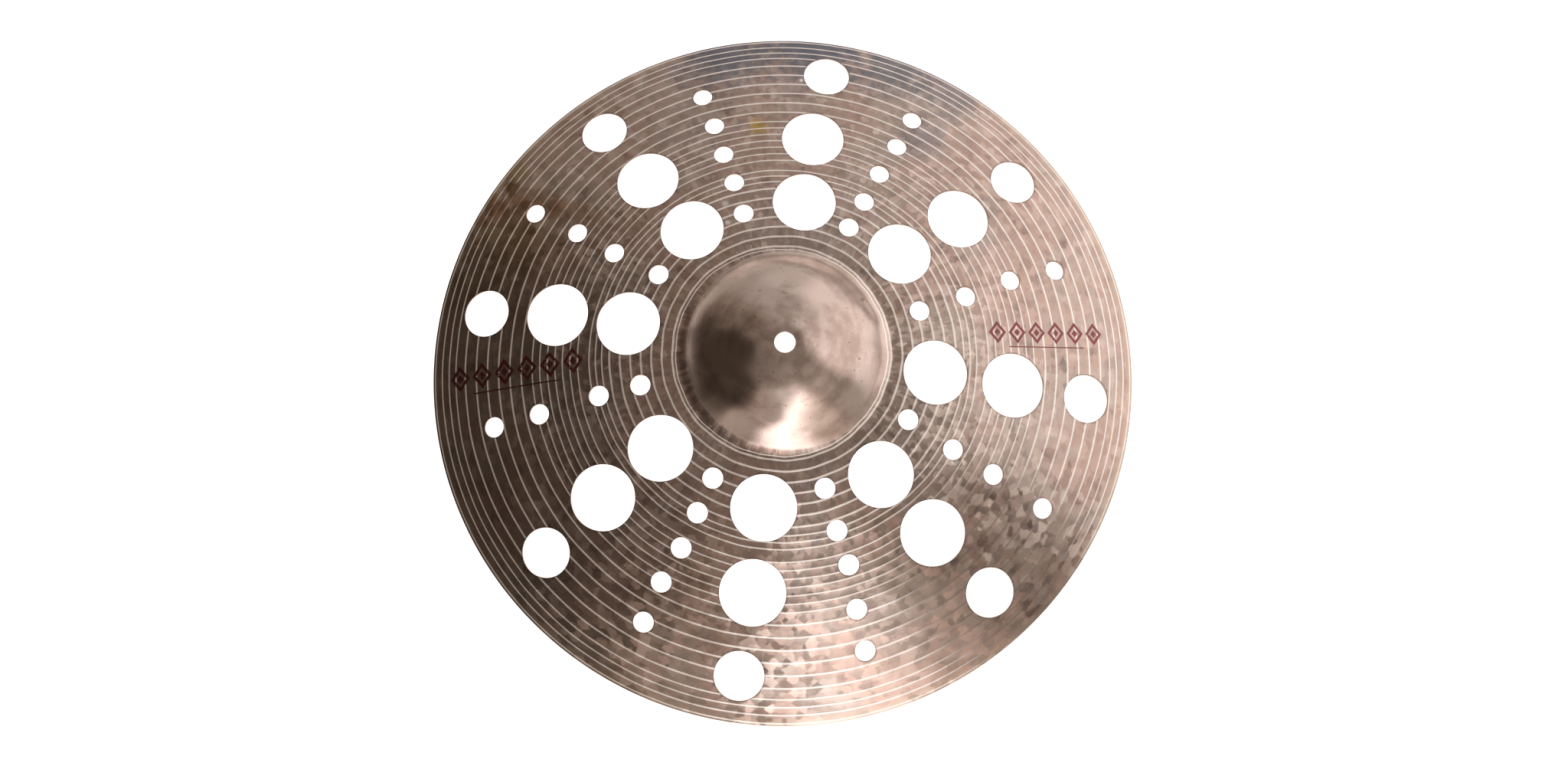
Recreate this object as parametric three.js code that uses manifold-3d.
// A vented crash cymbal: one round plate of cast bronze, hammered and turned on a lathe, with three
// rows of large vents and eight lines of small ones between them. It has no other pieces.
//
// Millimetres, +Z up. The Z axis runs through the mounting hole, and the rim rests on the plane z = 0.

import * as THREE from 'three';
import { mergeVertices } from 'three/addons/utils/BufferGeometryUtils.js';
import Module from 'manifold-3d';

// Driving dimensions
const RADIUS = 216; // a 17 inch plate
const BOW_RISE = 25.4; // from the rim to the foot of the bell, on the upper face
const BOW_POWER = 1.5; // how the bow falls away: flat at the bell, steepest at the rim
const BELL_RADIUS = 65; // where the bell's foot runs out into the bow
const BELL_RISE = 22.8; // from that foot to the crown
const BELL_FILLET = 11; // radius of the hollow curve at the foot
const SEAT_RADIUS = 10; // the flat that the stand's felts bear on
const BELL_THICKNESS = 1.2;
const EDGE_THICKNESS = 0.8;

// Holes
const MOUNTING_HOLE_RADIUS = 6.1;
const LARGE_VENT_RADIUS = 18.9;
const OUTER_VENT_RADIUS = 14.3;
const SMALL_VENT_RADIUS = 6;

// The vents run outwards in 16 lines, a line of three large ones and then a line of small ones. They
// were set out by eye, so each has its own angle, in degrees from +X, and distance from the axis.
const LARGE_ROW_RADII = [LARGE_VENT_RADIUS, LARGE_VENT_RADIUS, OUTER_VENT_RADIUS];

const LARGE_LINES = [
  { angles: [-8, -8, -8], distances: [91, 139, 186] },
  { angles: [41, 38.5, 38], distances: [93.5, 138.5, 185.5] },
  { angles: [82.5, 82.5, 81.5], distances: [95.5, 140.5, 189.5] },
  { angles: [126.5, 127.5, 128], distances: [95, 140, 187] },
  { angles: [169.5, 170, 171.5], distances: [95.5, 140, 185.5] },
  { angles: [218.5, 219, 220], distances: [93, 137, 183] },
  { angles: [262.5, 262.5, 262], distances: [93.5, 142, 189.5] },
  { angles: [307.5, 309, 310.5], distances: [92.5, 137.5, 185.5] },
];

const SMALL_LINES = [
  { angles: [17, 17.5, 18.5, 18], distances: [85, 115.5, 146.5, 177.5] },
  { angles: [63, 62.5, 62.5, 62, 62], distances: [87, 107, 129, 152.5, 175.5] },
  { angles: [106, 106, 106.5, 106.5, 107], distances: [90, 112, 133, 155, 178.5] },
  { angles: [148, 149, 149, 149.5], distances: [89.5, 121, 149, 181] },
  { angles: [193.5, 193.5, 194, 194], distances: [87.5, 113, 150.5, 179.5] },
  { angles: [241, 242, 242.5, 242, 242.5], distances: [86, 107.5, 129.5, 152, 177] },
  { angles: [286, 286, 286.5, 285.5, 285], distances: [84.5, 109.5, 130, 155.5, 179.5] },
  { angles: [330.5, 329.5, 329.5, 329], distances: [83.5, 115, 143, 179] },
];

// Fineness of the mesh
const TURN_STEPS = 64;
const CROWN_STEPS = 4;
const FILLET_STEPS = 2;
const BOW_STEPS = 5;
const LARGE_VENT_SIDES = 18;
const SMALL_VENT_SIDES = 10;
const WELD_DISTANCE = 1e-4;
const DRILL_LENGTH = 12; // well past both faces of the plate

const wasm = await Module();
wasm.setup();

// --- The section of the plate: height over distance from the axis ---

// The crown is an arc centred on the axis, and the foot is an arc that touches both it and the bow.
const centresApart = (BELL_RADIUS ** 2 + BELL_RISE ** 2) / (2 * BELL_RISE);
const crownRadius = centresApart - BELL_FILLET;
const crownCentre = BOW_RISE + BELL_RISE - crownRadius;
const crownEdge = (crownRadius * BELL_RADIUS) / centresApart;

function upperHeight(distance) {
  if (distance <= crownEdge) {
    return crownCentre + Math.sqrt(crownRadius ** 2 - Math.max(distance, SEAT_RADIUS) ** 2);
  }
  if (distance <= BELL_RADIUS) {
    return BOW_RISE + BELL_FILLET - Math.sqrt(BELL_FILLET ** 2 - (BELL_RADIUS - distance) ** 2);
  }
  return BOW_RISE * (1 - bowShare(distance) ** BOW_POWER);
}

// From 0 at the bell's foot to 1 at the rim.
function bowShare(distance) {
  return Math.max(0, (distance - BELL_RADIUS) / (RADIUS - BELL_RADIUS));
}

// The unit normal of the upper face, as its outward and upward parts.
function upperNormal(distance) {
  const step = 0.01;
  const slope = (upperHeight(distance) - upperHeight(distance - step)) / step;
  return new THREE.Vector2(-slope, 1).normalize();
}

function thickness(distance) {
  return THREE.MathUtils.lerp(BELL_THICKNESS, EDGE_THICKNESS, bowShare(distance));
}

// The ends of count equal steps, the last of them at to.
function stepsBetween(from, to, count) {
  return Array.from({ length: count }, (_, i) => from + ((to - from) * (i + 1)) / count);
}

// --- Solids ---

function toSolid(geometry) {
  geometry.deleteAttribute('normal');
  geometry.deleteAttribute('uv');
  const merged = mergeVertices(geometry, WELD_DISTANCE);
  const mesh = new wasm.Mesh({
    numProp: 3,
    vertProperties: new Float32Array(merged.attributes.position.array),
    triVerts: new Uint32Array(merged.index.array),
  });
  return new wasm.Manifold(mesh);
}

function toGeometry(solid) {
  const { vertProperties, triVerts } = solid.getMesh();
  const geometry = new THREE.BufferGeometry();
  geometry.setAttribute('position', new THREE.BufferAttribute(vertProperties, 3));
  geometry.setIndex(new THREE.BufferAttribute(triVerts, 1));
  geometry.computeVertexNormals();
  return geometry;
}

// The whole plate with its mounting hole and no vents.
function turnedPlate() {
  const distances = [
    MOUNTING_HOLE_RADIUS,
    SEAT_RADIUS,
    ...stepsBetween(SEAT_RADIUS, crownEdge, CROWN_STEPS),
    ...stepsBetween(crownEdge, BELL_RADIUS, FILLET_STEPS),
    ...stepsBetween(BELL_RADIUS, RADIUS, BOW_STEPS),
  ];
  const upper = distances.map((distance) => new THREE.Vector2(distance, upperHeight(distance)));
  const lower = distances.map((distance, i) =>
    upperNormal(distance).multiplyScalar(-thickness(distance)).add(upper[i]),
  );
  const outline = [...lower, ...upper.reverse(), lower[0]];
  // A lathe turns about Y, so the plate is stood up on Z.
  return toSolid(new THREE.LatheGeometry(outline, TURN_STEPS).rotateX(Math.PI / 2));
}

// A drill through the plate, square to its surface.
function drill(angle, distance, radius, sides) {
  const turn = THREE.MathUtils.degToRad(angle);
  const normal = upperNormal(distance);
  const axis = new THREE.Vector3(normal.x * Math.cos(turn), normal.x * Math.sin(turn), normal.y);
  const shape = new THREE.CylinderGeometry(radius, radius, DRILL_LENGTH, sides);
  shape.applyQuaternion(new THREE.Quaternion().setFromUnitVectors(new THREE.Vector3(0, 1, 0), axis));
  shape.translate(distance * Math.cos(turn), distance * Math.sin(turn), upperHeight(distance));
  return toSolid(shape);
}

function largeDrills() {
  return LARGE_LINES.flatMap(({ angles, distances }) =>
    LARGE_ROW_RADII.map((radius, i) => drill(angles[i], distances[i], radius, LARGE_VENT_SIDES)),
  );
}

function smallDrills() {
  return SMALL_LINES.flatMap(({ angles, distances }) =>
    distances.map((distance, i) => drill(angles[i], distance, SMALL_VENT_RADIUS, SMALL_VENT_SIDES)),
  );
}

function ventedPlate() {
  let solid = turnedPlate();
  for (const tool of [...largeDrills(), ...smallDrills()]) {
    solid = solid.subtract(tool);
  }
  // Set down so that the rim rests on z = 0.
  return solid.translate([0, 0, -solid.boundingBox().min[2]]);
}

// --- The object ---

const bronze = new THREE.MeshStandardMaterial({ color: 0x8a7156, roughness: 0.38, metalness: 1.0 });

const group = new THREE.Group();
const cymbal = new THREE.Mesh(toGeometry(ventedPlate()), bronze);
cymbal.name = 'cymbal_plate';
group.add(cymbal);

export default group;
